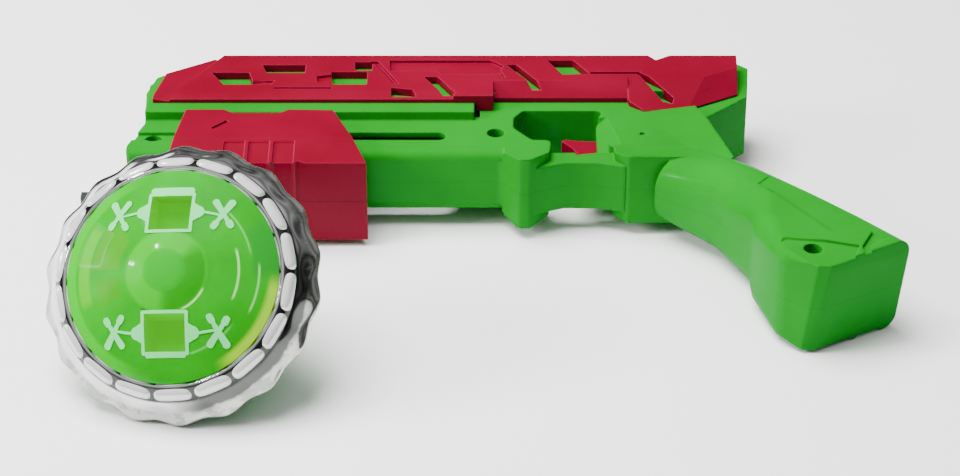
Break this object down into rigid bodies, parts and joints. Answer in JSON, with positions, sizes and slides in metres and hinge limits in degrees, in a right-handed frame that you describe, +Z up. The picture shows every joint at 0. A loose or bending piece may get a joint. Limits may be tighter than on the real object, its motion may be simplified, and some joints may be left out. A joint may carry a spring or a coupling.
{
  "type": "spinning top launcher",
  "caption": "Toy pistol launcher with a sliding pump, trigger and geared launch fork, and a light-up spinning top with a chrome lobed ring and green dome that rests beside it.",
  "frame": {"origin": "centre of the whole footprint, on the table", "axes": "-X along the barrel towards the muzzle, +Y across the table to the top of the barrel, +Z up from the table through the launcher's side"},
  "size_m": [0.2144, 0.1495, 0.0525],
  "materials": {
    "body_green": "bright green moulded plastic, satin gloss",
    "cover_red": "crimson moulded plastic, satin gloss",
    "screw_steel": "small plated screws",
    "spring_steel": "spring wire and pins",
    "gear_white": "natural white moulded nylon or acetal",
    "bush_brass": "turned brass",
    "fork_black": "black moulded plastic",
    "ring_chrome": "vacuum plated chrome over plastic",
    "dome_green": "clear green plastic",
    "frame_mint": "pale mint plastic",
    "base_green": "dark green moulded plastic",
    "tip_steel": "polished steel tip",
    "board_green": "circuit board",
    "light_clear": "clear lamp",
    "cell_steel": "button cell can"
  },
  "bodies": {
    "launcher": {"upper_shell": "body_green", "lower_shell": "body_green", "upper_cover": "cover_red", "lower_cover": "cover_red", "body_screws": "screw_steel", "gear_pins": "spring_steel", "spindle_bushes": "bush_brass", "drive_spring": "spring_steel", "trigger_spring": "spring_steel", "sear_pin": "spring_steel"},
    "pump": {"pump_upper": "cover_red", "pump_lower": "cover_red", "pump_screws": "screw_steel", "rack_carriage": "gear_white"},
    "gear_rear": {"rear_gear": "gear_white"},
    "gear_middle": {"middle_gear": "gear_white"},
    "gear_front": {"front_gear": "gear_white"},
    "launch_spindle": {"spindle": "gear_white", "launch_fork": "fork_black", "fork_screw": "screw_steel"},
    "trigger_blade": {"trigger": "cover_red"},
    "sear_lever": {"sear": "gear_white"},
    "top_point": {"tip_pin": "tip_steel"},
    "spinning_top": {"top_ring": "ring_chrome", "top_dome": "dome_green", "window_frames": "frame_mint", "top_base": "base_green", "tip_bush": "bush_brass", "light_board": "board_green", "lights": "light_clear", "button_cells": "cell_steel", "cell_lid": "fork_black", "top_screws": "screw_steel"}
  },
  "joints": [
    {"name": "pump_slide", "type": "slide", "parent": "launcher", "child": "pump", "axis": [1, 0, 0], "range_m": [0, 0.0245], "stiffness_N_per_m": 90, "springref_m": -0.01, "deforming": ["drive_spring"]},
    {"name": "gear_rear_turn", "type": "hinge", "parent": "launcher", "child": "gear_rear", "pos_m": [-0.05276, 0.02466, 0.01375], "axis": [0, 1, 0], "continuous": true},
    {"name": "gear_middle_turn", "type": "hinge", "parent": "launcher", "child": "gear_middle", "pos_m": [-0.06576, 0.02466, 0.01375], "axis": [0, 1, 0], "continuous": true},
    {"name": "gear_front_turn", "type": "hinge", "parent": "launcher", "child": "gear_front", "pos_m": [-0.07876, 0.02466, 0.01375], "axis": [0, 1, 0], "continuous": true},
    {"name": "spindle_turn", "type": "hinge", "parent": "launcher", "child": "launch_spindle", "pos_m": [-0.08786, 0.02466, 0.01375], "axis": [0, 1, 0], "continuous": true},
    {"name": "trigger_pull", "type": "slide", "parent": "launcher", "child": "trigger_blade", "axis": [1, 0, 0], "range_m": [0, 0.004], "stiffness_N_per_m": 200, "springref_m": -0.002, "deforming": ["trigger_spring"]},
    {"name": "sear_swing", "type": "hinge", "parent": "launcher", "child": "sear_lever", "pos_m": [0.01674, 0.05271, 0.01375], "axis": [0, 0, 1], "range_deg": [0, 5]},
    {"name": "top_lift", "type": "slide", "parent": "launcher", "child": "top_point", "axis": [0, 0, 1], "range_m": [0, 0.1]},
    {"name": "top_spin", "type": "hinge", "parent": "top_point", "child": "spinning_top", "pos_m": [-0.07266, -0.04749, 0.02499], "axis": [-0.1623, -0.7029, 0.6925], "continuous": true}
  ],
  "couplings": [
    {"joint": "gear_rear_turn", "follows": "pump_slide", "rad_per_m": -307.69},
    {"joint": "gear_middle_turn", "follows": "pump_slide", "rad_per_m": 307.69},
    {"joint": "gear_front_turn", "follows": "pump_slide", "rad_per_m": -307.69},
    {"joint": "spindle_turn", "follows": "pump_slide", "rad_per_m": 769.23},
    {"joint": "sear_swing", "follows": "trigger_pull", "rad_per_m": 21.817}
  ]
}
